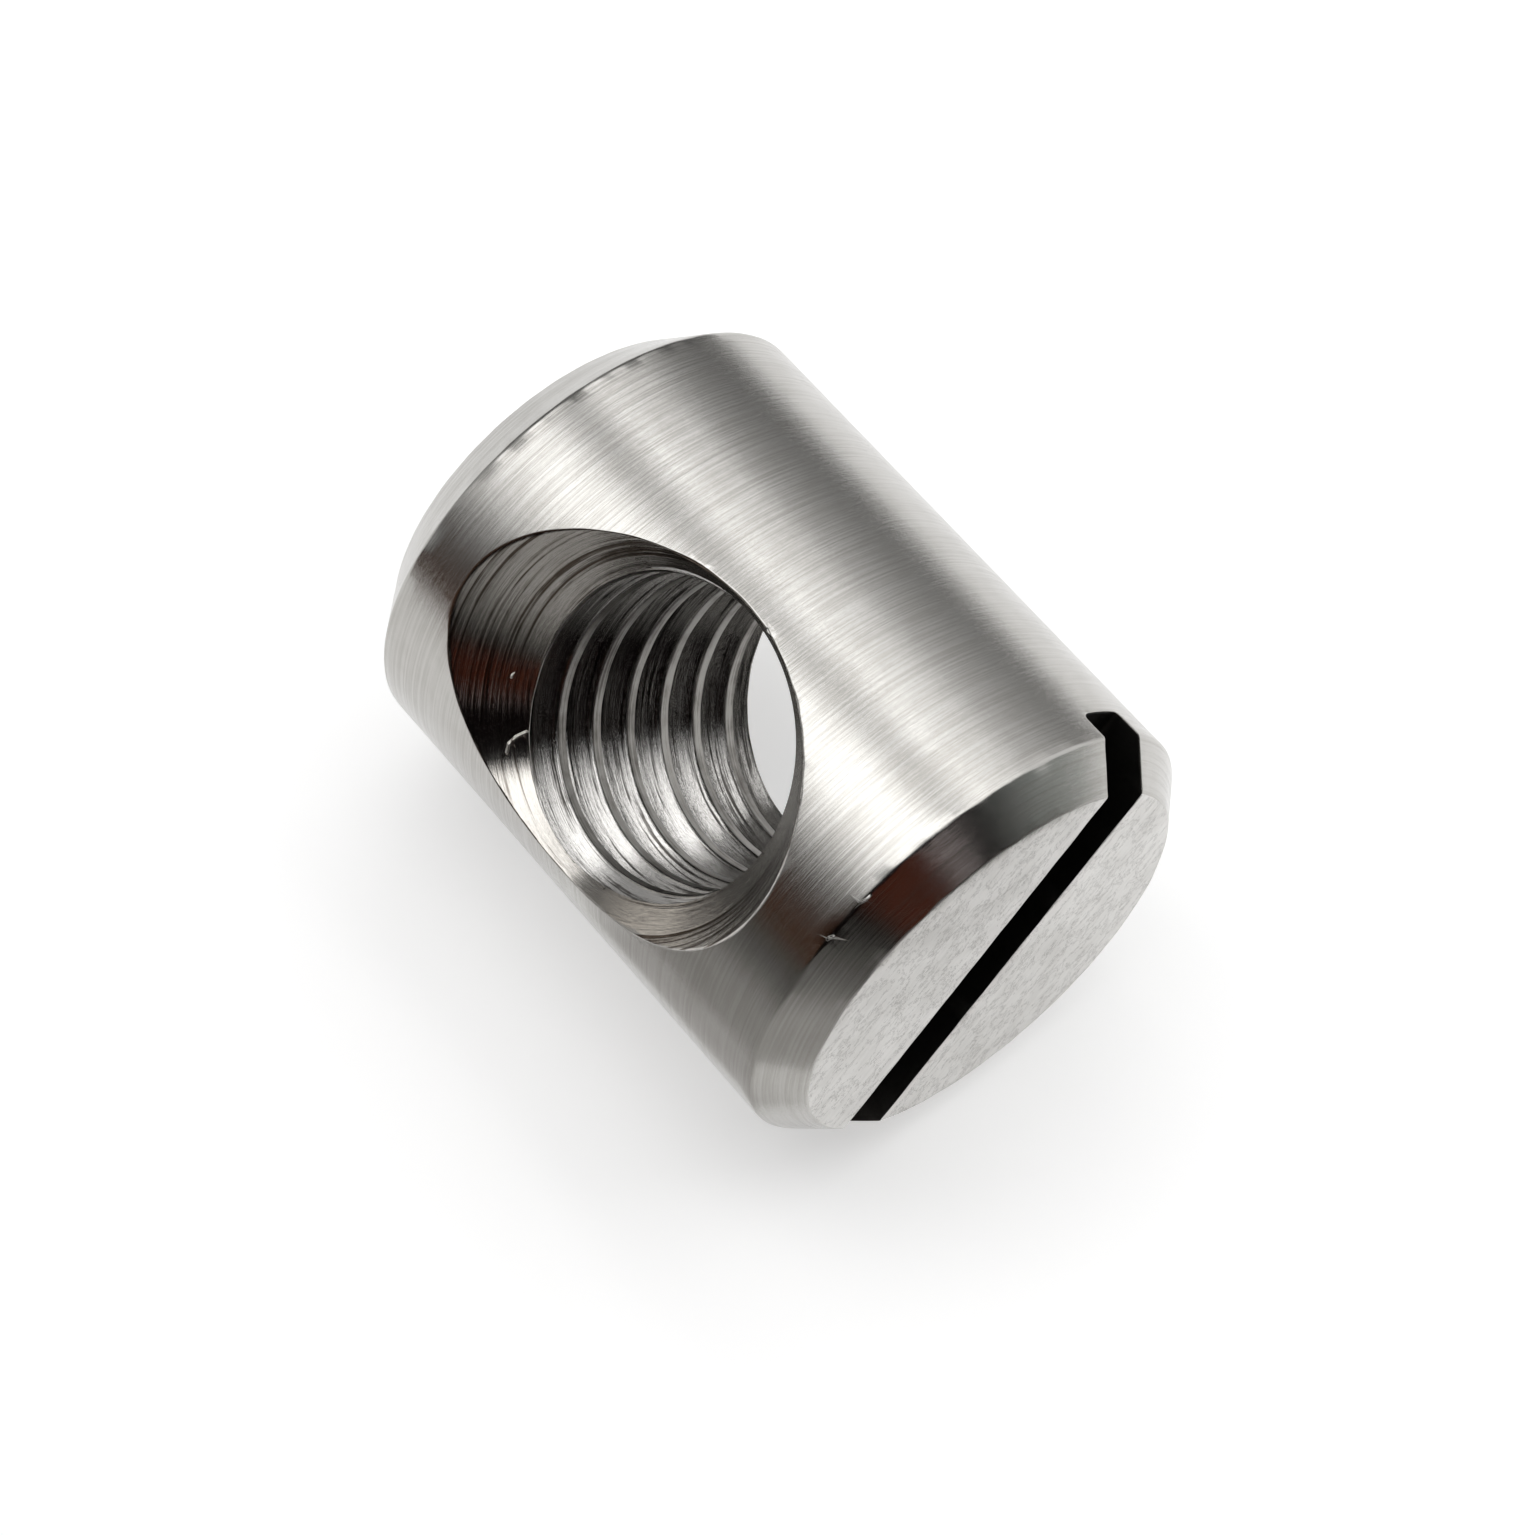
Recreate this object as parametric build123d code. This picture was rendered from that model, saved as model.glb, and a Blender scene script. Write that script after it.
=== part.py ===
from build123d import *
from build123d.topology import SkipClean
import os
from math import radians, tan

# A cross dowel nut: a turned barrel that drops into a blind hole, with a tapped hole across it for the screw
# and a slot in one end that turns the tapped hole to face the screw. Lengths are in mm, angles in degrees.
barrel_diameter = 14.0
barrel_length = 18.0
plain_end_chamfer = 1.4      # both chamfers are at 45 degrees
slot_end_chamfer = 1.05

thread_diameter = 10.0       # coarse right-hand metric thread, to the bottom of its groove
thread_pitch = 1.5
thread_angle = 60.0          # between the two flanks
thread_root_flat = 0.28      # the width of the groove's bottom
tapping_drill = 8.5
groove_phase = -0.15         # where along the thread's axis a groove crosses the +Y side
hole_height = 9.0            # the thread's axis above the plain end

countersink_diameter = 12.0  # measured at the crown of the barrel
countersink_angle = 82.0

slot_width = 1.7
slot_depth = 1.9
slot_floor_radius = 0.25
slot_turn = 88.4             # from the thread's axis to the slot, seen from the slotted end

clearance = 1.0              # how far each cutter runs past the metal
groove_overlap = 0.25        # how far the groove's cutter reaches inside the drilled hole
barrel_radius = barrel_diameter / 2
drill_radius = tapping_drill / 2


def turned_barrel():
    """The bar after turning and parting off: a cylinder on the Z axis with a chamfer at each end."""
    half_section = make_face(
        Polyline(
            (0, 0),
            (barrel_radius - plain_end_chamfer, 0),
            (barrel_radius, plain_end_chamfer),
            (barrel_radius, barrel_length - slot_end_chamfer),
            (barrel_radius - slot_end_chamfer, barrel_length),
            (0, barrel_length),
            close=True,
        )
    )
    return revolve(Plane.XZ * half_section, Axis.Z)


def drilled_hole():
    """The tapping drill's hole along X. Its wall is four quarters, so that no turn of the thread has to
    cross the seam of a full cylinder."""
    quarters = [CenterArc((0, 0), drill_radius, 45 + 90 * n, 90) for n in range(4)]
    return extrude(Plane.YZ * make_face(quarters), barrel_radius + clearance, both=True, clean=False)


def countersink():
    """The conical mouth of the hole on the +X side."""
    slope = tan(radians(countersink_angle / 2))
    mouth_radius = countersink_diameter / 2
    throat = barrel_radius - (mouth_radius - drill_radius) / slope
    outside = barrel_radius + clearance
    section = make_face(
        Polyline(
            (throat, 0),
            (throat, drill_radius),
            (outside, mouth_radius + clearance * slope),
            (outside, 0),
            close=True,
        )
    )
    return revolve(Plane.XY * section, Axis.X)


def thread_turn():
    """One turn of the groove the tap cuts, about the X axis: the thread's 60 degree section with its flat
    root, run along a helix that starts on the +Y side at x = 0."""
    root_radius = thread_diameter / 2
    root_half = thread_root_flat / 2
    inner_radius = drill_radius - groove_overlap
    inner_half = root_half + (root_radius - inner_radius) * tan(radians(thread_angle / 2))
    section = make_face(
        Polyline(
            (inner_radius, -inner_half),
            (root_radius, -root_half),
            (root_radius, root_half),
            (inner_radius, inner_half),
            close=True,
        )
    )
    helix = Helix(thread_pitch, thread_pitch, drill_radius)
    turn = sweep(Plane.XZ * section, path=helix, is_frenet=True)
    # first its start swings from +X to +Y, then its axis from +Z to +X
    return Rot(0, 90, 0) * (Rot(0, 0, 90) * turn)


def driver_slot():
    """The slot across the top end, its floor corners slightly rounded."""
    top = barrel_length + clearance
    floor = barrel_length - slot_depth
    outline = FilletPolyline(
        (-slot_width / 2, top),
        (-slot_width / 2, floor),
        (slot_width / 2, floor),
        (slot_width / 2, top),
        radius=slot_floor_radius,
    )
    lid = Line((slot_width / 2, top), (-slot_width / 2, top))
    slot = extrude(Plane.XZ * make_face([*outline.edges(), lid]), barrel_radius + clearance, both=True)
    return Rot(0, 0, slot_turn - 90) * slot


def barrel_nut():
    """The finished nut. The faces stay as each cut leaves them, since merging them would join the quarters of
    the hole again, and the thread is cut turn by turn."""
    on_axis = Pos(0, 0, hole_height)
    turns_each_way = int((barrel_radius - clearance) / thread_pitch)
    mouth = countersink()
    turn = thread_turn()
    with SkipClean():
        nut = turned_barrel().cut(driver_slot())
        nut = nut.cut(on_axis * drilled_hole())
        nut = nut.cut(on_axis * mouth, on_axis * Rot(0, 0, 180) * mouth)
        for n in range(-turns_each_way, turns_each_way):
            nut = nut.cut(on_axis * Pos(groove_phase + n * thread_pitch, 0, 0) * turn)
    return nut


os.makedirs("parts", exist_ok=True)
nut = barrel_nut()
print("volume", round(nut.volume, 1), "valid", nut.is_valid, "solids", len(nut.solids()))
export_step(nut, "parts/barrel_nut.step")
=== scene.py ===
import bpy
import bmesh
import math
import numpy as np
from mathutils import Matrix, Vector


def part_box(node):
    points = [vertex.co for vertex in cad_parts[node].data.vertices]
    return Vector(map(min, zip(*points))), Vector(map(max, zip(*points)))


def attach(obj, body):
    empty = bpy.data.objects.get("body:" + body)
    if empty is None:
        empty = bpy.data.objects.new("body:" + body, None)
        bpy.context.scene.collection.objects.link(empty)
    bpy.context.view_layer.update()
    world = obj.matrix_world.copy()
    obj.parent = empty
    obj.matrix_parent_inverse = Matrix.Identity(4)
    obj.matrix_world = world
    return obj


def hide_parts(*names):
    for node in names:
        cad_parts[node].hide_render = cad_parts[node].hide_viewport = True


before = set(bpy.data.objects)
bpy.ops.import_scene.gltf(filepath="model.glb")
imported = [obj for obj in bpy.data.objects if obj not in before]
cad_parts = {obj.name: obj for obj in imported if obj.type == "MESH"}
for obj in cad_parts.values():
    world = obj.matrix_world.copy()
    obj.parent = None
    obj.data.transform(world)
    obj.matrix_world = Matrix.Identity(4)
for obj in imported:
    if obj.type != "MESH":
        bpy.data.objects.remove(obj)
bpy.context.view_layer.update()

nutLow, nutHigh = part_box("barrel_nut")
nutCentre = (nutLow + nutHigh) / 2
barrelRadius = (nutHigh.x - nutLow.x) * 500      # the meshes are made in millimetres, then scaled to metres
barrelLength = (nutHigh.z - nutLow.z) * 1000
holeHeight = barrelLength / 2
print("frame loaded")

# the finished nut in millimetres, its axis on Z and the tapped hole along X
nutShape = {
    "plainChamfer": 1.4, "slotChamfer": 1.05,
    "drillRadius": 4.13, "grooveRadius": 4.8, "grooveFlat": 0.36, "flankAngle": 60,
    "pitch": 1.5, "groovePhase": 0.05, "grooveEnds": (4.75, 5.1),
    "mouthRadius": 6.0, "mouthAngle": 82,
    "slotWidth": 1.7, "slotDepth": 1.9, "slotCorner": 0.25, "slotTurn": -1.6,
    "edgeBreak": 0.05, "rootFillet": 0.08,
}
# thin curls of metal left at the hole and on the slotted chamfer, each a line through a few points
burrs = {
    "radius": 0.035, "blend": 0.015,
    "lines": (((5.38, 3.43, 5.94), (5.33, 3.24, 5.81), (5.18, 3.03, 5.78), (4.96, 2.81, 5.84)),
              ((5.36, -4.50, 9.95), (5.40, -4.45, 10.15)),
              ((5.38, 1.79, 4.77), (5.39, 1.80, 4.79)),
              ((6.71, -2.00, 16.93), (6.65, -2.14, 17.0)),
              ((6.96, -0.80, 16.93), (6.90, -0.93, 17.0))),
}
# how the broken edges vary: waves along X, Y and Z, finer ones across them, and how much both change them
edgeWear = {"waves": (2.3, 3.1, 2.7), "starts": (1, 2, 0), "fineWaves": 4.7, "fineShare": 0.5, "amount": 0.45}
# how finely the surfaces are cut up: counts, then lengths in millimetres
meshDetail = {
    "aroundBarrel": 200, "aroundThread": 128, "aroundMouth": 160, "aroundSlotCorner": 6,
    "halvings": 14, "settleRounds": 5,
    "ringStep": 0.4, "threadStep": 0.12, "mouthStep": 0.12, "slotStep": 0.35,
    "besideEdges": (0.014, 0.034, 0.06), "besideThread": (0.016, 0.04, 0.07),
    "centreRing": 0.02, "mouthFrom": 3.6, "slotRow": 0.9,
    "runOut": 1.3, "threadEnd": 2, "slotRunOut": 1,
    "burrReach": 0.08, "burrSteps": (0.12, 0.12, 0.06, 0.06, 0.035),
    "weld": 0.0005, "snap": 0.005,
}


def meet(fields, radius):
    # where several surfaces meet, the corner between them is rounded to about this radius
    stack = np.stack(fields)
    over = np.maximum(stack + radius, 0)
    return np.minimum(-radius, stack.max(axis=0)) + np.sqrt((over * over).sum(axis=0))


def grooveDepth(along):
    # the groove runs out as it reaches the countersink the tap went in by
    near, gone = nutShape["grooveEnds"]
    left = np.clip((gone - along) / (gone - near), 0, 1)
    return (nutShape["grooveRadius"] - nutShape["drillRadius"]) * left * left * (3 - 2 * left)


def barrelFields(p):
    # distances outside the turned barrel: side, both ends and both chamfers
    fromAxis = np.hypot(p[:, 0], p[:, 1]) - barrelRadius
    up, down = p[:, 2] - barrelLength, -p[:, 2]
    slotBevel = (fromAxis + up + nutShape["slotChamfer"]) * math.sqrt(0.5)
    plainBevel = (fromAxis + down + nutShape["plainChamfer"]) * math.sqrt(0.5)
    return [fromAxis, up, down, slotBevel, plainBevel]


def holeFields(p):
    # distances from the drilled hole, the thread's groove and the countersinks, less than nothing inside them
    along, side, rise = p[:, 0], p[:, 1], p[:, 2] - holeHeight
    fromAxis = np.hypot(side, rise)
    drill = fromAxis - nutShape["drillRadius"]
    turned = np.arctan2(rise, side) / (2 * math.pi)
    lead = (along - nutShape["groovePhase"]) / nutShape["pitch"] - turned
    offset = np.abs(lead - np.round(lead)) * nutShape["pitch"]
    flank = math.radians(nutShape["flankAngle"] / 2)
    inside = nutShape["grooveRadius"] - fromAxis
    walls = (offset - nutShape["grooveFlat"] / 2 - inside * math.tan(flank)) * math.cos(flank)
    groove = meet([walls, drill - grooveDepth(along)], nutShape["rootFillet"])
    half = math.radians(nutShape["mouthAngle"] / 2)
    reach = nutShape["mouthRadius"] - (barrelRadius - np.abs(along)) * math.tan(half)
    mouth = (fromAxis - reach) * math.cos(half)
    return [drill, groove, mouth]


def slotField(p):
    turn = math.radians(nutShape["slotTurn"])
    across = np.abs(p[:, 0] * math.cos(turn) + p[:, 1] * math.sin(turn)) - nutShape["slotWidth"] / 2
    below = barrelLength - nutShape["slotDepth"] - p[:, 2]
    return meet([across, below], nutShape["slotCorner"])


def burrField(p):
    nearest = np.full(len(p), np.inf)
    for line in burrs["lines"]:
        for start, end in zip(line, line[1:]):
            start, run = np.array(start), np.array(end) - np.array(start)
            share = np.clip((p - start) @ run / (run @ run), 0, 1)
            nearest = np.minimum(nearest, np.linalg.norm(p - start - share[:, None] * run, axis=1))
    return nearest - burrs["radius"]


def nutField(p):
    # the edges are broken unevenly by hand
    coarse = np.sin(p * edgeWear["waves"] + edgeWear["starts"]).prod(axis=1)
    fine = np.sin(p.sum(axis=1) * edgeWear["fineWaves"]) * edgeWear["fineShare"]
    cut = [-f for f in holeFields(p)] + [-slotField(p)]
    metal = meet(barrelFields(p) + cut, nutShape["edgeBreak"] * (1 + edgeWear["amount"] * (coarse + fine)))
    return -meet([-metal, -burrField(p)], burrs["blend"])


def slopeOf(field, p, step=0.002):
    # which way the surface faces at each point
    slope = np.empty_like(p)
    for axis in range(3):
        shift = np.zeros(3)
        shift[axis] = step
        slope[:, axis] = field(p + shift) - field(p - shift)
    return slope / np.maximum(np.linalg.norm(slope, axis=1, keepdims=True), 1e-9)


def addObject(name, data):
    thing = bpy.data.objects.new(name, data)
    bpy.context.scene.collection.objects.link(thing)
    return thing


def meshObject(name, points, faces):
    mesh = bpy.data.meshes.new(name)
    mesh.from_pydata([tuple(v) for v in points], [], [tuple(f) for f in faces])
    work = bmesh.new()
    work.from_mesh(mesh)
    bmesh.ops.recalc_face_normals(work, faces=work.faces)
    work.to_mesh(mesh)
    work.free()
    return addObject(name, mesh)


def turnedSolid(name, outline, around, axis):
    # an outline of (distance from the axis, distance along it), turned about Z or X, both ends on the axis
    points, faces = [], []
    rings = outline[1:-1]
    for radius, along in rings:
        for n in range(around):
            angle = 2 * math.pi * n / around
            points.append((radius * math.cos(angle), radius * math.sin(angle), along))
    for r in range(len(rings) - 1):
        for n in range(around):
            m = (n + 1) % around
            a, b = r * around, (r + 1) * around
            faces.append((a + n, a + m, b + m, b + n))
    for ring, end in ((0, outline[0]), (len(rings) - 1, outline[-1])):
        points.append((0, 0, end[1]))
        for n in range(around):
            faces.append((ring * around + n, ring * around + (n + 1) % around, len(points) - 1))
    if axis == "X":
        points = [(z, x, y + holeHeight) for x, y, z in points]
    return meshObject(name, points, faces)


def stepsBetween(low, high, step):
    count = max(1, round(abs(high - low) / step))
    return [low + (high - low) * n / count for n in range(count)]


def nearCorners(corners, step, close=meshDetail["besideEdges"]):
    # stations along a line that crowd together at its corners
    stations = set()
    for start, end in zip(corners, corners[1:]):
        stations.update(stepsBetween(start, end, step))
        for gap in close:
            stations.update((start + gap, end - gap))
    stations.update((corners[0], corners[-1]))
    return sorted(stations)


def barrelBlank():
    flat, bevel = barrelRadius - nutShape["plainChamfer"], barrelRadius - nutShape["slotChamfer"]
    step, innermost = meshDetail["ringStep"], meshDetail["centreRing"]
    lowTop, highTop = nutShape["plainChamfer"], barrelLength - nutShape["slotChamfer"]
    outline = [(0, 0)]
    outline += [(r, 0) for r in nearCorners([innermost, flat], step)[:-1]]
    outline += [(flat + t, t) for t in nearCorners([0, lowTop], step)[:-1]]
    outline += [(barrelRadius, z) for z in nearCorners([lowTop, highTop], step)[:-1]]
    outline += [(barrelRadius - t, highTop + t) for t in nearCorners([0, nutShape["slotChamfer"]], step)[:-1]]
    outline += [(r, barrelLength) for r in reversed(nearCorners([innermost, bevel], step))]
    outline.append((0, barrelLength))
    return turnedSolid("blank", outline, meshDetail["aroundBarrel"], "Z")


def mouthCutter(side):
    slope = math.tan(math.radians(nutShape["mouthAngle"] / 2))
    start, reach = meshDetail["mouthFrom"], barrelRadius + meshDetail["runOut"]
    rings = stepsBetween(start, reach, meshDetail["mouthStep"]) + [reach]
    outline = [(0, side * start)]
    outline += [(nutShape["mouthRadius"] - (barrelRadius - x) * slope, side * x) for x in rings]
    outline.append((0, side * reach))
    return turnedSolid("mouth", outline, meshDetail["aroundMouth"], "X")


def threadCutter():
    # the tapped hole's air: rows run round the hole and climb a pitch each turn, so they follow the thread
    pitch, around = nutShape["pitch"], meshDetail["aroundThread"]
    tangent = math.tan(math.radians(nutShape["flankAngle"] / 2))
    rootHalf = nutShape["grooveFlat"] / 2
    depth = nutShape["grooveRadius"] - nutShape["drillRadius"]
    brink = rootHalf + depth * tangent
    half = nearCorners([0, rootHalf, brink, pitch / 2], meshDetail["threadStep"], meshDetail["besideThread"])
    half = [s for s in half if s >= 0 and s < pitch / 2]
    offsets = sorted(set([-s for s in half] + half)) + [pitch / 2]
    heights = [min(max((brink - abs(s)) / tangent, 0), depth) for s in offsets]
    perTurn = len(offsets)
    turns = 2 * math.ceil((barrelRadius + meshDetail["runOut"]) / pitch) + 2
    rows = perTurn * turns + 1
    points = []
    for n in range(around):
        angle = 2 * math.pi * n / around
        start = nutShape["groovePhase"] + pitch * n / around - pitch * turns / 2
        for row in range(rows):
            along = start + offsets[row % perTurn] + pitch * (row // perTurn)
            radius = nutShape["drillRadius"] + min(heights[row % perTurn], grooveDepth(along))
            points.append((along, radius * math.cos(angle), radius * math.sin(angle) + holeHeight))
    faces = []
    for n in range(around):
        # after a whole turn a row carries on as the row one pitch further
        beside, shift = ((n + 1) * rows, 0) if n < around - 1 else (0, perTurn)
        for row in range(rows - 1 - shift):
            a, b = n * rows + row, beside + row + shift
            faces.append((a, b, b + 1, a + 1))
    lowEdge = [n * rows for n in range(around)] + list(range(perTurn, 0, -1))
    last = around * rows - 1
    highEdge = [n * rows + rows - 1 for n in range(around)] + list(range(last - 1, last - 1 - perTurn, -1))
    for edge, side in ((lowEdge, -1), (highEdge, 1)):
        points.append((side * (pitch * turns / 2 + meshDetail["threadEnd"]), 0, holeHeight))
        for a, b in zip(edge, edge[1:] + edge[:1]):
            faces.append((a, b, len(points) - 1))
    return meshObject("threadAir", points, faces)


def slotCutter():
    half, past = nutShape["slotWidth"] / 2, meshDetail["slotRunOut"]
    reach = barrelRadius + past
    floor, corner = barrelLength - nutShape["slotDepth"], nutShape["slotCorner"]
    outline = [(-half, barrelLength + past), (-half, barrelLength - meshDetail["slotRow"])]
    steps = meshDetail["aroundSlotCorner"]
    for n in range(steps + 1):
        angle = math.radians(90 * n / steps)
        outline.append((-half + corner * (1 - math.cos(angle)), floor + corner * (1 - math.sin(angle))))
    outline += [(-x, z) for x, z in reversed(outline)]
    turn = math.radians(nutShape["slotTurn"])
    stations = stepsBetween(-reach, reach, meshDetail["slotStep"]) + [reach]
    points = []
    for along in stations:
        for across, z in outline:
            x = across * math.cos(turn) - along * math.sin(turn)
            y = across * math.sin(turn) + along * math.cos(turn)
            points.append((x, y, z))
    count = len(outline)
    faces = []
    for s in range(len(stations) - 1):
        for n in range(count):
            m = (n + 1) % count
            faces.append((s * count + n, s * count + m, (s + 1) * count + m, (s + 1) * count + n))
    faces.append(tuple(range(count)))
    faces.append(tuple(range((len(stations) - 1) * count, len(stations) * count)))
    return meshObject("slotAir", points, faces)


def cutAway(blank, cutters):
    for cutter in cutters:
        modifier = blank.modifiers.new("cut", "BOOLEAN")
        modifier.operation = "DIFFERENCE"
        modifier.solver = "MANIFOLD"
        modifier.object = cutter
    graph = bpy.context.evaluated_depsgraph_get()
    mesh = bpy.data.meshes.new_from_object(blank.evaluated_get(graph))
    work = bmesh.new()
    work.from_mesh(mesh)
    bmesh.ops.remove_doubles(work, verts=work.verts, dist=meshDetail["weld"])
    bmesh.ops.triangulate(work, faces=work.faces)
    points = np.array([v.co for v in work.verts])
    faces = np.array([[v.index for v in f.verts] for f in work.faces])
    work.free()
    bpy.data.meshes.remove(mesh)
    for thing in [blank] + cutters:
        bpy.data.objects.remove(thing)
    return points, faces


def atLevel(field, level):
    # picks the edges that cross the line where the field has this level, and where they cross it
    def choose(points, edges):
        value = field(points) - level
        value[np.abs(value) < meshDetail["snap"]] = 0
        crossed = value[edges[:, 0]] * value[edges[:, 1]] < 0
        low, high = points[edges[crossed, 0]], points[edges[crossed, 1]]
        flip = value[edges[crossed, 0]] > 0
        low[flip], high[flip] = high[flip].copy(), low[flip].copy()
        for n in range(meshDetail["halvings"]):
            middle = (low + high) / 2
            above = field(middle) - level > 0
            high[above] = middle[above]
            low[~above] = middle[~above]
        return crossed, (low + high) / 2
    return choose


def longBeside(field, reach, longest):
    # picks the middles of the long edges close to where the field is nothing
    def choose(points, edges):
        start, end = points[edges[:, 0]], points[edges[:, 1]]
        middle = (start + end) / 2
        chosen = (field(middle) < reach) & (np.linalg.norm(end - start, axis=1) > longest)
        return chosen, middle[chosen]
    return choose


def columns(*parts):
    return np.stack(parts, axis=1)


def splitEdges(points, faces, choose):
    # puts a new point on every chosen edge and cuts the triangles beside it
    corners = np.stack([faces, np.roll(faces, -1, axis=1)], axis=2).reshape(-1, 2)
    corners.sort(axis=1)
    edges, where = np.unique(corners, axis=0, return_inverse=True)
    chosen, fresh = choose(points, edges)
    number = np.full(len(edges), -1)
    number[chosen] = len(points) + np.arange(chosen.sum())
    points = np.concatenate([points, fresh])
    cut = number[where.reshape(-1)].reshape(-1, 3)
    count = (cut >= 0).sum(axis=1)
    result = [faces[count == 0]]
    f, c = faces[count == 3], cut[count == 3]
    result.append(c)
    for k in range(3):
        result.append(columns(f[:, k], c[:, k], c[:, (k + 2) % 3]))
    for k in range(3):
        one, two, three = k, (k + 1) % 3, (k + 2) % 3
        pick = (count == 1) & (cut[:, one] >= 0)
        f, c = faces[pick], cut[pick, one]
        result.append(columns(f[:, one], c, f[:, three]))
        result.append(columns(c, f[:, two], f[:, three]))
        pick = (count == 2) & (cut[:, one] >= 0) & (cut[:, three] >= 0)
        f, c, d = faces[pick], cut[pick, one], cut[pick, three]
        result.append(columns(f[:, one], c, d))
        # what is left has four sides, and its shorter diagonal divides it
        second, third = f[:, two], f[:, three]
        toThird = np.linalg.norm(points[c] - points[third], axis=1)
        toSecond = np.linalg.norm(points[d] - points[second], axis=1)
        near = (toThird < toSecond)[:, None]
        result.append(np.where(near, columns(c, second, third), columns(c, second, d)))
        result.append(np.where(near, columns(c, third, d), columns(second, third, d)))
    return points, np.concatenate(result)


def makeNut():
    points, faces = cutAway(barrelBlank(), [threadCutter(), mouthCutter(1), mouthCutter(-1), slotCutter()])
    print("nut cut out,", len(faces), "triangles")
    surfaces = [
        lambda p: -np.maximum.reduce(barrelFields(p)),
        lambda p: np.minimum.reduce(holeFields(p)[:2]),
        lambda p: holeFields(p)[2],
        slotField,
    ]
    for surface in surfaces:
        for gap in meshDetail["besideEdges"]:
            points, faces = splitEdges(points, faces, atLevel(surface, gap))
    for longest in meshDetail["burrSteps"]:
        points, faces = splitEdges(points, faces, longBeside(burrField, meshDetail["burrReach"], longest))
    # every point settles on the surface with its broken edges
    for n in range(meshDetail["settleRounds"]):
        points = points - slopeOf(nutField, points) * nutField(points)[:, None]
    print("edges broken,", len(faces), "triangles")
    nut = meshObject("turnedNut", points * 0.001, faces)
    nut.data.polygons.foreach_set("use_smooth", [True] * len(faces))
    nut.data.normals_split_custom_set_from_vertices(slopeOf(nutField, points))
    return nut


nut = makeNut()
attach(nut, "root")
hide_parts("barrel_nut")

# angles in degrees, the lens in millimetres, the rest in metres; it aims a little beside the nut's middle
cameraView = {"azimuth": -27.89, "height": 22.6, "roll": 137.62, "distance": 0.11437, "lens": 102.17,
              "aimRight": -0.0000724, "aimUp": -0.0011436, "nearest": 0.001, "farthest": 10}


def aimCamera():
    azimuth, height = math.radians(cameraView["azimuth"]), math.radians(cameraView["height"])
    level = math.cos(height)
    back = Vector((math.cos(azimuth) * level, math.sin(azimuth) * level, math.sin(height)))
    roll = Matrix.Rotation(math.radians(cameraView["roll"]), 3, "Z")
    turn = (-back).to_track_quat("-Z", "Y").to_matrix() @ roll
    data = bpy.data.cameras.new("camera")
    data.lens = cameraView["lens"]
    data.clip_start = cameraView["nearest"]
    data.clip_end = cameraView["farthest"]
    camera = addObject("camera", data)
    aim = nutCentre + turn @ Vector((cameraView["aimRight"], cameraView["aimUp"], 0))
    camera.matrix_world = Matrix.Translation(aim + back * cameraView["distance"]) @ turn.to_4x4()
    bpy.context.scene.camera = camera


class Nodes:
    # a short way to lay out the nodes of one material
    def __init__(self, owner):
        owner.use_nodes = True
        self.tree = owner.node_tree
        self.tree.nodes.clear()

    def feed(self, socket, value):
        if isinstance(value, bpy.types.NodeSocket):
            self.tree.links.new(value, socket)
        else:
            socket.default_value = value

    def add(self, kind, inputs=None, **settings):
        node = self.tree.nodes.new(kind)
        for name, value in settings.items():
            setattr(node, name, value)
        for name, value in (inputs or {}).items():
            self.feed(node.inputs[name], value)
        return node

    def math(self, operation, *values):
        return self.add("ShaderNodeMath", dict(enumerate(values)), operation=operation).outputs[0]

    def dot(self, vector, direction):
        node = self.add("ShaderNodeVectorMath", {0: vector, 1: tuple(direction)}, operation="DOT_PRODUCT")
        return node.outputs["Value"]

    def scaled(self, vector, scale):
        return self.add("ShaderNodeVectorMath", {0: vector, 1: scale}, operation="MULTIPLY").outputs[0]

    def ease(self, value, low, high, fromValue=0.0, toValue=1.0):
        # goes smoothly from one value to the other as the input goes from low to high
        inputs = {"Value": value, "From Min": low, "From Max": high, "To Min": fromValue, "To Max": toValue}
        return self.add("ShaderNodeMapRange", inputs, interpolation_type="SMOOTHSTEP").outputs["Result"]

    def blend(self, amount, first, second):
        return self.add("ShaderNodeMix", {0: amount, 6: first, 7: second}, data_type="RGBA").outputs[2]

    def noise(self, place, scale, detail, roughness):
        inputs = {"Vector": place, "Scale": scale, "Detail": detail, "Roughness": roughness}
        return self.add("ShaderNodeTexNoise", inputs).outputs[0]

    def show(self, shader):
        self.add("ShaderNodeOutputMaterial", {"Surface": shader.outputs[0]})


# the nut lies on its side, so the floor stands upright here, touching the barrel
floorSettings = {"azimuth": -47.2, "halfSize": 1.0, "colour": (0.79, 0.79, 0.79, 1), "glow": 0.465}
floorTurn = math.radians(floorSettings["azimuth"])
floorUp = Vector((math.cos(floorTurn), math.sin(floorTurn), 0))
floorAlong = Vector((0, 0, 1))
floorAcross = floorUp.cross(floorAlong)
floorTouch = nutCentre - floorUp * barrelRadius * 0.001      # the middle of the line the nut lies on


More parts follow.
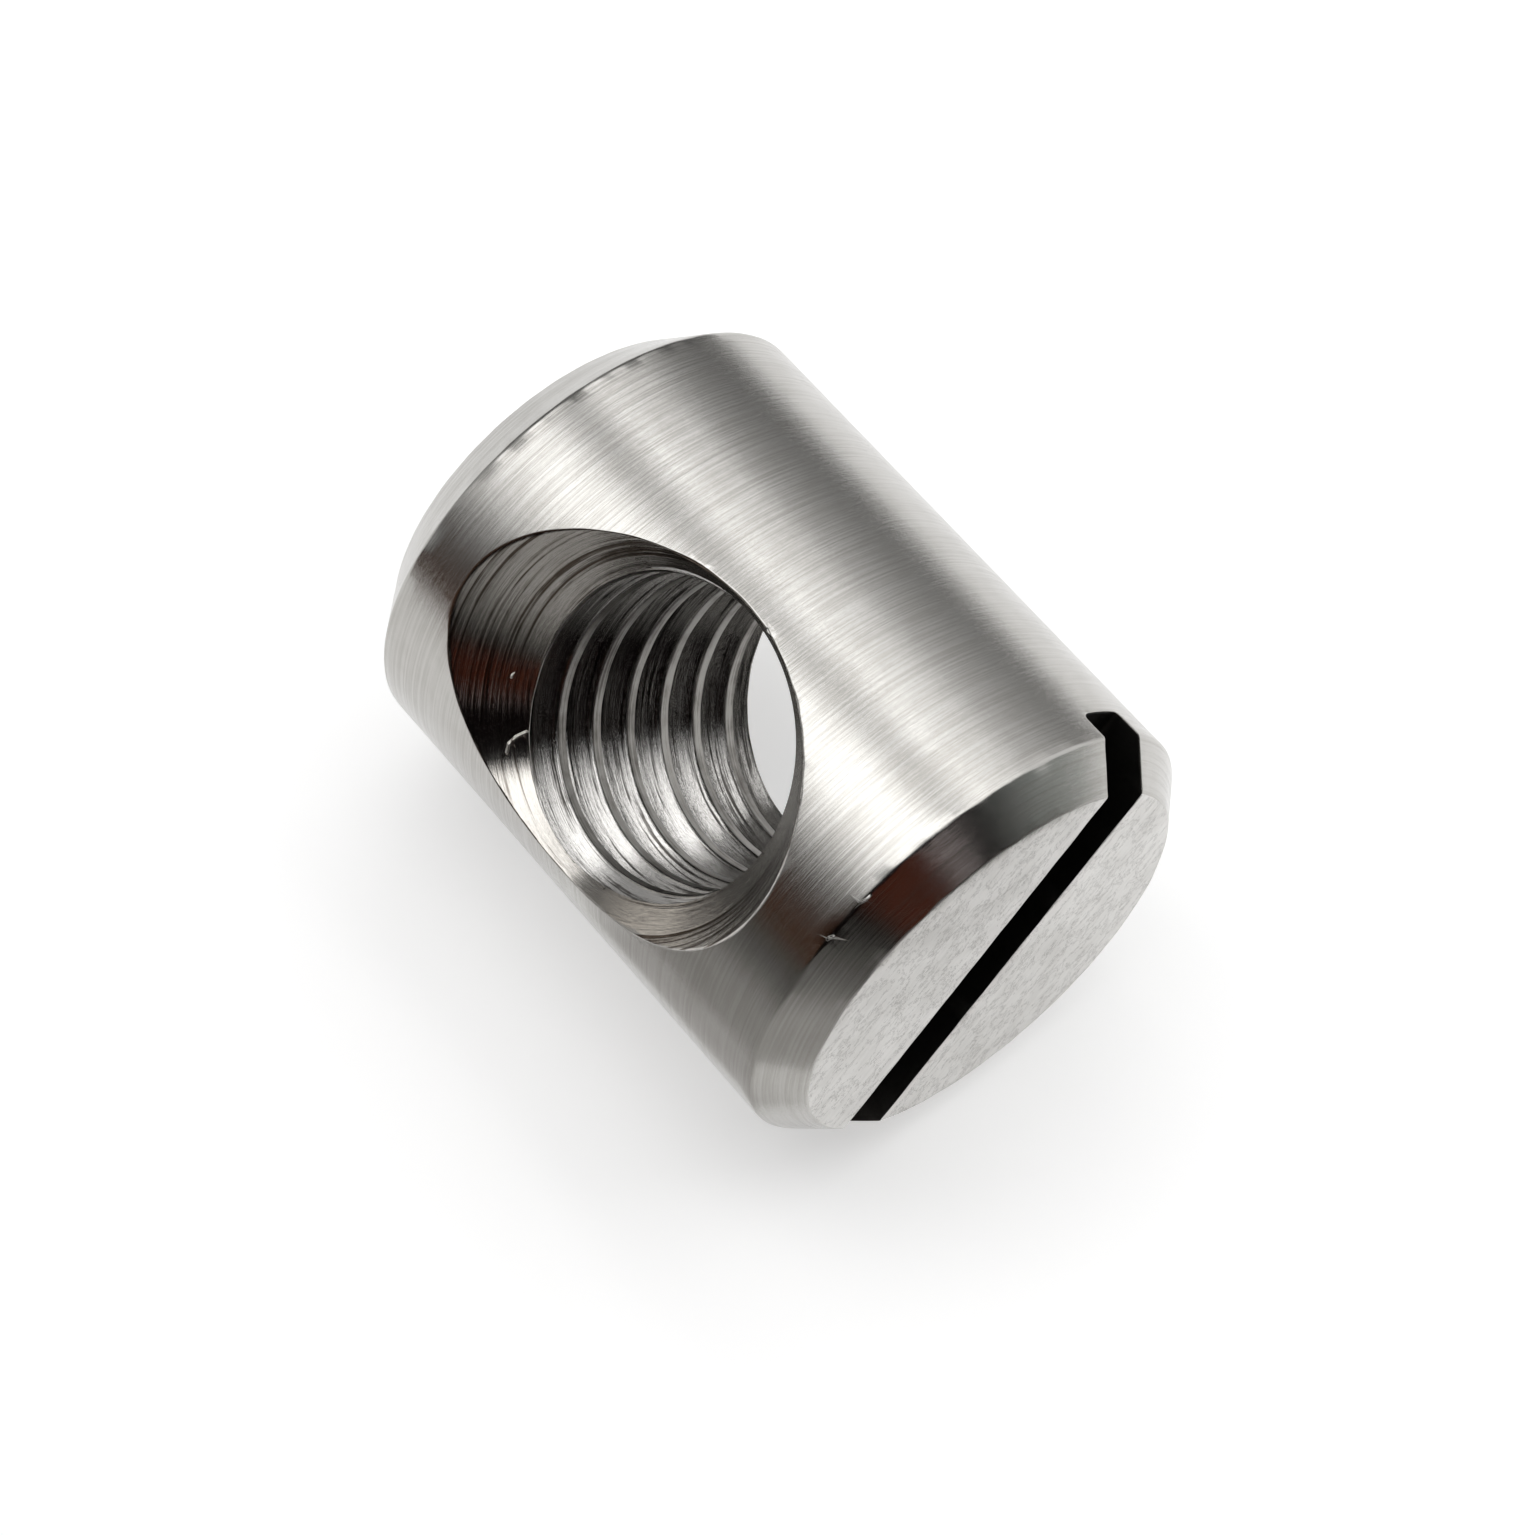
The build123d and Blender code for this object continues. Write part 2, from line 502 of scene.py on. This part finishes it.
def layFloor():
    half = floorSettings["halfSize"]
    corners = []
    for across, along in ((-1, -1), (1, -1), (1, 1), (-1, 1)):
        corners.append(floorTouch + floorAcross * across * half + floorAlong * along * half)
    mesh = bpy.data.meshes.new("floor")
    mesh.from_pydata(corners, [], [(0, 1, 2, 3)])
    floor = addObject("floor", mesh)
    material = bpy.data.materials.new("palePaper")
    n = Nodes(material)
    paper = n.add("ShaderNodeBsdfDiffuse", {"Color": floorSettings["colour"]})
    # lifts the paper to white where it is seen directly or in the steel, and the shadow stays on it
    rays = n.add("ShaderNodeLightPath").outputs
    seen = n.math("ADD", rays["Is Camera Ray"], rays["Is Glossy Ray"])
    seen = n.math("ADD", seen, rays["Is Transmission Ray"])
    strength = n.math("MULTIPLY", n.math("MINIMUM", seen, 1.0), floorSettings["glow"])
    glow = n.add("ShaderNodeEmission", {"Color": (1, 1, 1, 1), "Strength": strength})
    lit = n.add("ShaderNodeAddShader", {0: paper.outputs[0], 1: glow.outputs[0]})
    # from below it is clear
    clear = n.add("ShaderNodeBsdfTransparent")
    below = n.add("ShaderNodeNewGeometry").outputs["Backfacing"]
    n.show(n.add("ShaderNodeMixShader", {0: below, 1: lit.outputs[0], 2: clear.outputs[0]}))
    mesh.materials.append(material)
    material.cycles.emission_sampling = "NONE"
    if mesh.polygons[0].normal.dot(floorUp) < 0:
        mesh.flip_normals()


# what stands round the table, as brightness by direction: a softbox overhead, strips beside it, a dark side
# towards the camera and the room's grey on the far side; pairs say where a change starts and where it ends
studioSettings = {
    "radius": 0.12, "segments": 48,
    "softbox": 2.9, "softboxLow": (-0.63, -0.47), "lowDim": 0.17,
    "softboxLeft": (-0.60, -0.04), "leftSlant": 0.6, "softboxRight": (0.04, 0.21), "rightSlant": 0.3,
    # each strip by its middle, half its width and its strength, beside the softbox
    "between": 1.05, "strips": ((0.36, 0.1, 1.8), (0.56, 0.1, 0.8)), "stripSolid": 0.3,
    "roomSlant": 0.6, "roomEdge": (0.811, 1.186), "roomDim": 0.24,
    # directions are across the floor, up from it and along it
    "darkTowards": (-0.504, -0.334, 0.796), "darkEdge": (-0.05, 0.05), "dark": (0.004, 0.003, 0.003, 1),
    "warm": (0.10, 0.048, 0.027, 1), "warmAcross": (-0.85, -0.45), "warmAlong": (-0.25, 0.2),
    "far": (0.44, 0.47, 0.455, 1), "farAcross": (0.25, 0.8),
    # small things on the dark side, each by direction, width and colour
    "things": (((-0.17, 0.33, 0.93), 0.2, (0.095, 0.026, 0.014, 1)),
               ((0.09, 0.40, 0.91), 0.09, (0.6, 0.53, 0.53, 1))),
    "thingEdge": (1.25, 0.8),
}


def studioLook(n):
    # the colour of the surroundings, by the direction they are seen in
    s = studioSettings
    place = n.add("ShaderNodeTexCoord").outputs["Object"]
    look = n.add("ShaderNodeVectorMath", {0: place}, operation="NORMALIZE").outputs[0]
    across, along = n.dot(look, floorAcross), n.dot(look, floorAlong)

    def slanted(slant):
        return n.math("SUBTRACT", across, n.math("MULTIPLY", along, slant))

    def towards(direction):
        return floorAcross * direction[0] + floorUp * direction[1] + floorAlong * direction[2]

    bright = n.ease(slanted(s["rightSlant"]), *s["softboxRight"], s["softbox"], s["between"])
    for middle, half, strength in s["strips"]:
        off = n.math("ABSOLUTE", n.math("SUBTRACT", across, middle))
        bright = n.math("ADD", bright, n.ease(off, half * s["stripSolid"], half, strength, 0.0))
    left = n.ease(slanted(s["leftSlant"]), *s["softboxLeft"])
    low = n.ease(along, *s["softboxLow"], s["lowDim"], 1)
    room = n.ease(slanted(s["roomSlant"]), *s["roomEdge"], 1.0, s["roomDim"])
    for dimmer in (left, low, room):
        bright = n.math("MULTIPLY", bright, dimmer)
    grey = n.add("ShaderNodeCombineColor", {0: bright, 1: bright, 2: bright}).outputs[0]
    farGrey = n.blend(n.ease(across, *s["farAcross"]), (0, 0, 0, 1), s["far"])
    warmth = n.math("MULTIPLY", n.ease(across, *s["warmAcross"], 1.0, 0.0),
                    n.ease(along, *s["warmAlong"], 1.0, 0.0))
    warm = n.blend(warmth, s["dark"], s["warm"])
    both = {0: 1.0, 6: farGrey, 7: warm}
    darkSide = n.add("ShaderNodeMix", both, data_type="RGBA", blend_type="ADD").outputs[2]
    for direction, width, colour in s["things"]:
        outer, inner = [math.cos(width * share) for share in s["thingEdge"]]
        inside = n.ease(n.dot(look, towards(direction).normalized()), outer, inner)
        darkSide = n.blend(inside, darkSide, colour)
    shade = n.ease(n.dot(look, towards(s["darkTowards"])), *s["darkEdge"])
    return n.blend(shade, grey, darkSide)


def hangStudio():
    mesh = bpy.data.meshes.new("studioDome")
    work = bmesh.new()
    segments, radius = studioSettings["segments"], studioSettings["radius"]
    bmesh.ops.create_uvsphere(work, u_segments=segments, v_segments=segments // 2, radius=radius)
    work.to_mesh(mesh)
    work.free()
    dome = addObject("studioDome", mesh)
    dome.location = nutCentre
    dome.visible_camera = False
    material = bpy.data.materials.new("studioSurround")
    n = Nodes(material)
    n.show(n.add("ShaderNodeEmission", {"Color": studioLook(n), "Strength": 1.0}))
    material.cycles.emission_sampling = "NONE"
    mesh.materials.append(material)
    world = bpy.data.worlds.new("pale world")
    world.use_nodes = True
    world.node_tree.nodes["Background"].inputs[0].default_value = (1, 1, 1, 1)
    world.node_tree.nodes["Background"].inputs[1].default_value = 1.0
    world.cycles.sampling_method = "NONE"
    bpy.context.scene.world = world


# a grey card stands on the paper in a bow beside the nut and round its slotted end; only the steel sees it.
# It is painted shade: it darkens the steel's reflection of the paper beside the nut, where that paper lies in
# shade.
# Angles are in degrees, from straight beside the nut towards its slotted end, and lengths in metres
cardSettings = {
    "steps": 24, "footSteps": 12, "from": -14, "to": 130, "fade": (12, 25),
    "near": 0.0125, "far": 0.019, "height": 0.013, "lift": 0.0002,
    "low": (0.85, 0.84, 0.83, 1), "high": (0.2, 0.195, 0.185, 1), "shade": (0.0055, 0.0120),
    # its foot is painted shadow: a glowing sheet on the paper, inwards from the card, darker than the paper
    # near the nut and like the paper at its edges
    "inner": 0.0072, "innerFade": 0.0012, "footFade": (0.007, 0.012),
    "lying": (0.55, 0.54, 0.53, 1), "paper": (0.9, 0.9, 0.89, 1),
}


def cardMesh():
    first, last = cardSettings["from"], cardSettings["to"]
    steps, footSteps = cardSettings["steps"], cardSettings["footSteps"]
    corners = []
    for n in range(steps + 1):
        angle = math.radians(first + (last - first) * n / steps)
        away = cardSettings["near"] + (cardSettings["far"] - cardSettings["near"]) * min(n / footSteps, 1)
        spot = floorTouch + (floorAlong * math.sin(angle) - floorAcross * math.cos(angle)) * away
        inner = spot - floorAcross * ((spot - floorTouch).dot(floorAcross) + cardSettings["inner"])
        corners += [spot, spot + floorUp * cardSettings["height"], inner]
    corners = [c + floorUp * cardSettings["lift"] for c in corners]
    upright = [(3 * n, 3 * n + 3, 3 * n + 4, 3 * n + 1) for n in range(steps)]
    lying = [(3 * n, 3 * n + 3, 3 * n + 5, 3 * n + 2) for n in range(footSteps)]
    mesh = bpy.data.meshes.new("darkCard")
    mesh.from_pydata(corners, [], upright + lying)
    return mesh


def besideNut(n, place):
    # how far a point lies beside the nut's resting line and along it, and the angle round its middle
    sideways = n.math("SUBTRACT", floorTouch.dot(floorAcross), n.dot(place, floorAcross))
    lengthways = n.math("SUBTRACT", n.dot(place, floorAlong), floorTouch.dot(floorAlong))
    return sideways, lengthways, n.math("DEGREES", n.math("ARCTAN2", lengthways, sideways))


def paintedShadeCard():
    first, last = cardSettings["from"], cardSettings["to"]
    material = bpy.data.materials.new("cardOfPaintedShade")
    n = Nodes(material)
    place = n.add("ShaderNodeTexCoord").outputs["Object"]
    rise = n.math("SUBTRACT", n.dot(place, floorUp), floorTouch.dot(floorUp))
    # painted shade: the card is light at its foot and darker towards its top
    shade = n.blend(n.ease(rise, *cardSettings["shade"]), cardSettings["low"], cardSettings["high"])
    paintedShadeBsdf = n.add("ShaderNodeBsdfDiffuse", {"Color": shade})
    # it thins out towards both ends, so that no edge of it shows in the steel
    angle = besideNut(n, place)[2]
    solid = n.math("MULTIPLY", n.ease(angle, first, first + cardSettings["fade"][0]),
                   n.ease(angle, last - cardSettings["fade"][1], last, 1.0, 0.0))
    clear = n.add("ShaderNodeBsdfTransparent")
    n.show(n.add("ShaderNodeMixShader", {0: solid, 1: clear.outputs[0], 2: paintedShadeBsdf.outputs[0]}))
    return material


def paintedShadowFoot():
    first, inner = cardSettings["from"], cardSettings["inner"]
    material = bpy.data.materials.new("paintedShadowOnPaper")
    n = Nodes(material)
    sideways, lengthways, angle = besideNut(n, n.add("ShaderNodeTexCoord").outputs["Object"])
    dark = n.math("MULTIPLY", n.ease(sideways, inner, inner + cardSettings["innerFade"]),
                  n.ease(lengthways, *cardSettings["footFade"], 1.0, 0.0))
    dark = n.math("MULTIPLY", dark, n.ease(angle, first, first + cardSettings["fade"][0]))
    # the foot glows with painted shadow: darker than the paper where the steel sees the paper beside the nut
    look = n.blend(dark, cardSettings["paper"], cardSettings["lying"])
    n.show(n.add("ShaderNodeEmission", {"Color": look}))
    return material


def standCard():
    mesh = cardMesh()
    mesh.materials.append(paintedShadeCard())
    mesh.materials.append(paintedShadowFoot())
    for face in mesh.polygons[cardSettings["steps"]:]:
        face.material_index = 1
    card = addObject("darkCard", mesh)
    for hidden in ("visible_camera", "visible_diffuse", "visible_shadow"):
        setattr(card, hidden, False)


# the finishes, one for each way the metal was cut: its colour where it is clean and where it is dull, how
# rough both are, how much the lines and the blotches show, and the noise at which dull turns to clean
finishes = {
    "side": {"colour": (0.47, 0.46, 0.44, 1), "dull": (0.40, 0.388, 0.365, 1), "roughness": (0.14, 0.23),
             "anisotropic": 0.8, "lines": 0.35, "blotch": 0.25, "edges": (0.40, 0.58)},
    "end": {"colour": (0.70, 0.69, 0.67, 1), "dull": (0.63, 0.62, 0.60, 1), "roughness": (0.34, 0.46),
            "anisotropic": 0.3, "lines": 0.2, "blotch": 0.5, "edges": (0.36, 0.6)},
    "mouth": {"colour": (0.49, 0.47, 0.44, 1), "dull": (0.09, 0.07, 0.055, 1), "roughness": (0.08, 0.2),
              "anisotropic": 0.4, "lines": 1.0, "blotch": 0.1, "edges": (0.41, 0.51)},
    "crest": {"colour": (0.34, 0.33, 0.31, 1), "dull": (0.11, 0.10, 0.09, 1), "roughness": (0.28, 0.42),
              "anisotropic": 0.2, "lines": 0.6, "blotch": 0.5, "edges": (0.36, 0.56)},
    "flank": {"colour": (0.47, 0.46, 0.445, 1), "dull": (0.06, 0.055, 0.05, 1), "roughness": (0.03, 0.08),
              "anisotropic": 0.3, "lines": 1.0, "blotch": 0.12, "edges": (0.39, 0.49)},
    # the slot's near-black colour is painted shade: the slot is coloured as dark as its own shade makes it
    # look
    "paintedShadeSlot": {"colour": (0.03, 0.028, 0.026, 1), "dull": (0.015, 0.014, 0.013, 1), "roughness": (0.4, 0.6),
             "anisotropic": 0.0, "lines": 0.3, "blotch": 0.5, "edges": (0.36, 0.64)},
}
# how close the tool's lines lie: along X, Y and Z, or in the hole across the lines and along them
toolMarks = {
    "side": (0.13, 0.13, 17.0), "end": (6.0, 0.5, 0.5), "paintedShadeSlot": (6.0, 0.5, 0.5),
    "mouth": (8.0, 0.4), "crest": (15.0, 0.9), "flank": (15.0, 0.9), "mouthTilt": 0.12,
}
# noises are given by scale, detail and roughness
steelMarks = {
    "lines": (1.0, 6.0, 0.7), "lineDepth": 0.00002, "blotches": (0.9, 6.0, 0.6), "roughEdges": (0.3, 0.7),
    "anisotropicTurn": 0.25,
    "veins": (1.1, 7.0, 0.75), "veinStretch": (1.9, 0.8, 1.0), "veinWidth": 0.014, "veinStrength": 0.8,
    "veinColour": (0.12, 0.11, 0.10, 1),
}


def roundTheHole(n, place):
    # distance from the hole's axis, and the direction round it, so that lines follow the cutter
    apart = n.add("ShaderNodeSeparateXYZ", {0: place}).outputs
    rise = n.math("SUBTRACT", apart[2], holeHeight)
    squares = n.math("ADD", n.math("MULTIPLY", apart[1], apart[1]), n.math("MULTIPLY", rise, rise))
    far = n.math("SQRT", squares)
    turn = n.math("ARCTAN2", rise, apart[1])
    return apart[0], far, turn, n.math("DIVIDE", apart[1], far), n.math("DIVIDE", rise, far)


def toolLines(n, kind, place):
    # a stretched noise: close lines across the cut, long along it
    marks = toolMarks[kind]
    if kind == "side":
        where = n.scaled(place, marks)
    elif kind in ("end", "paintedShadeSlot"):
        turn = math.radians(nutShape["slotTurn"])
        turned = n.add("ShaderNodeVectorRotate", {0: place, "Angle": -turn}, rotation_type="Z_AXIS")
        where = n.scaled(turned.outputs[0], marks)
    else:
        close, length = marks
        along, far, turn, sideways, upward = roundTheHole(n, place)
        if kind == "mouth":
            tilted = n.math("ADD", far, n.math("MULTIPLY", sideways, toolMarks["mouthTilt"]))
            across = n.math("MULTIPLY", tilted, close)
        else:
            # counted afresh in each turn of the thread, from where the other finish lies
            lead = n.math("SUBTRACT", along, n.math("MULTIPLY", turn, nutShape["pitch"] / (2 * math.pi)))
            low = nutShape["groovePhase"] - (nutShape["pitch"] / 2 if kind == "flank" else 0)
            across = n.math("MULTIPLY", n.math("WRAP", lead, low + nutShape["pitch"], low), close)
            upward = n.math("ADD", upward, along)
        where = n.add("ShaderNodeCombineXYZ", {0: across, 1: n.math("MULTIPLY", sideways, length),
                                               2: n.math("MULTIPLY", upward, length)}).outputs[0]
    return n.noise(where, *steelMarks["lines"])


def veined(n, place, colour):
    # fine dark veins, where a noise is close to its middle
    veins = n.noise(n.scaled(place, steelMarks["veinStretch"]), *steelMarks["veins"])
    off = n.math("ABSOLUTE", n.math("SUBTRACT", veins, 0.5))
    line = n.ease(off, 0.0, steelMarks["veinWidth"], steelMarks["veinStrength"], 0.0)
    return n.blend(line, colour, steelMarks["veinColour"])


def steelFinish(kind):
    values = finishes[kind]
    material = bpy.data.materials.new(kind + "Steel")
    n = Nodes(material)
    place = n.scaled(n.add("ShaderNodeTexCoord").outputs["Object"], (1000, 1000, 1000))      # in millimetres
    lines = toolLines(n, kind, place)
    blotch = n.math("MULTIPLY", n.noise(place, *steelMarks["blotches"]), values["blotch"])
    mixed = n.math("ADD", blotch, n.math("MULTIPLY", lines, 1 - values["blotch"]))
    colour = n.blend(n.ease(mixed, *values["edges"]), values["dull"], values["colour"])
    if kind == "end":
        colour = veined(n, place, colour)
    shiny, dull = values["roughness"]
    rough = n.ease(mixed, *steelMarks["roughEdges"], dull, shiny)
    bumpInputs = {"Height": lines, "Strength": values["lines"], "Distance": steelMarks["lineDepth"]}
    bump = n.add("ShaderNodeBump", bumpInputs)
    sockets = {"Base Color": colour, "Metallic": 1.0, "Roughness": rough, "Normal": bump.outputs[0]}
    if values["anisotropic"]:
        axis = "Z" if kind in ("side", "end") else "X"
        tangent = n.add("ShaderNodeTangent", direction_type="RADIAL", axis=axis).outputs[0]
        sockets.update({"Anisotropic": values["anisotropic"], "Tangent": tangent,
                        "Anisotropic Rotation": steelMarks["anisotropicTurn"]})
    n.show(n.add("ShaderNodeBsdfPrincipled", sockets))
    return material


def finishNut(nut):
    for kind in finishes:
        nut.data.materials.append(steelFinish(kind))
    kinds = list(finishes)
    points = np.array([v.co for v in nut.data.vertices]) * 1000
    faces = np.array([p.vertices for p in nut.data.polygons])
    middle = points[faces].mean(axis=1)
    drill, groove, mouth = holeFields(middle)
    side, up, down, slotBevel, plainBevel = barrelFields(middle)
    # the surface a face lies on is the one it is least far inside
    surfaces = {"side": np.maximum.reduce([side, slotBevel, plainBevel]), "end": np.maximum(up, down),
                "mouth": -mouth, "crest": -drill, "flank": -groove, "paintedShadeSlot": -slotField(middle)}
    chosen = np.argmax(np.stack([surfaces[kind] for kind in kinds]), axis=0)
    nut.data.polygons.foreach_set("material_index", chosen.astype(np.int32))
    print("finishes:", dict(zip(kinds, np.bincount(chosen, minlength=len(kinds)).tolist())))


aimCamera()
layFloor()
hangStudio()
standCard()
print("studio set up")
finishNut(nut)
bpy.context.scene.view_settings.view_transform = 'Standard'
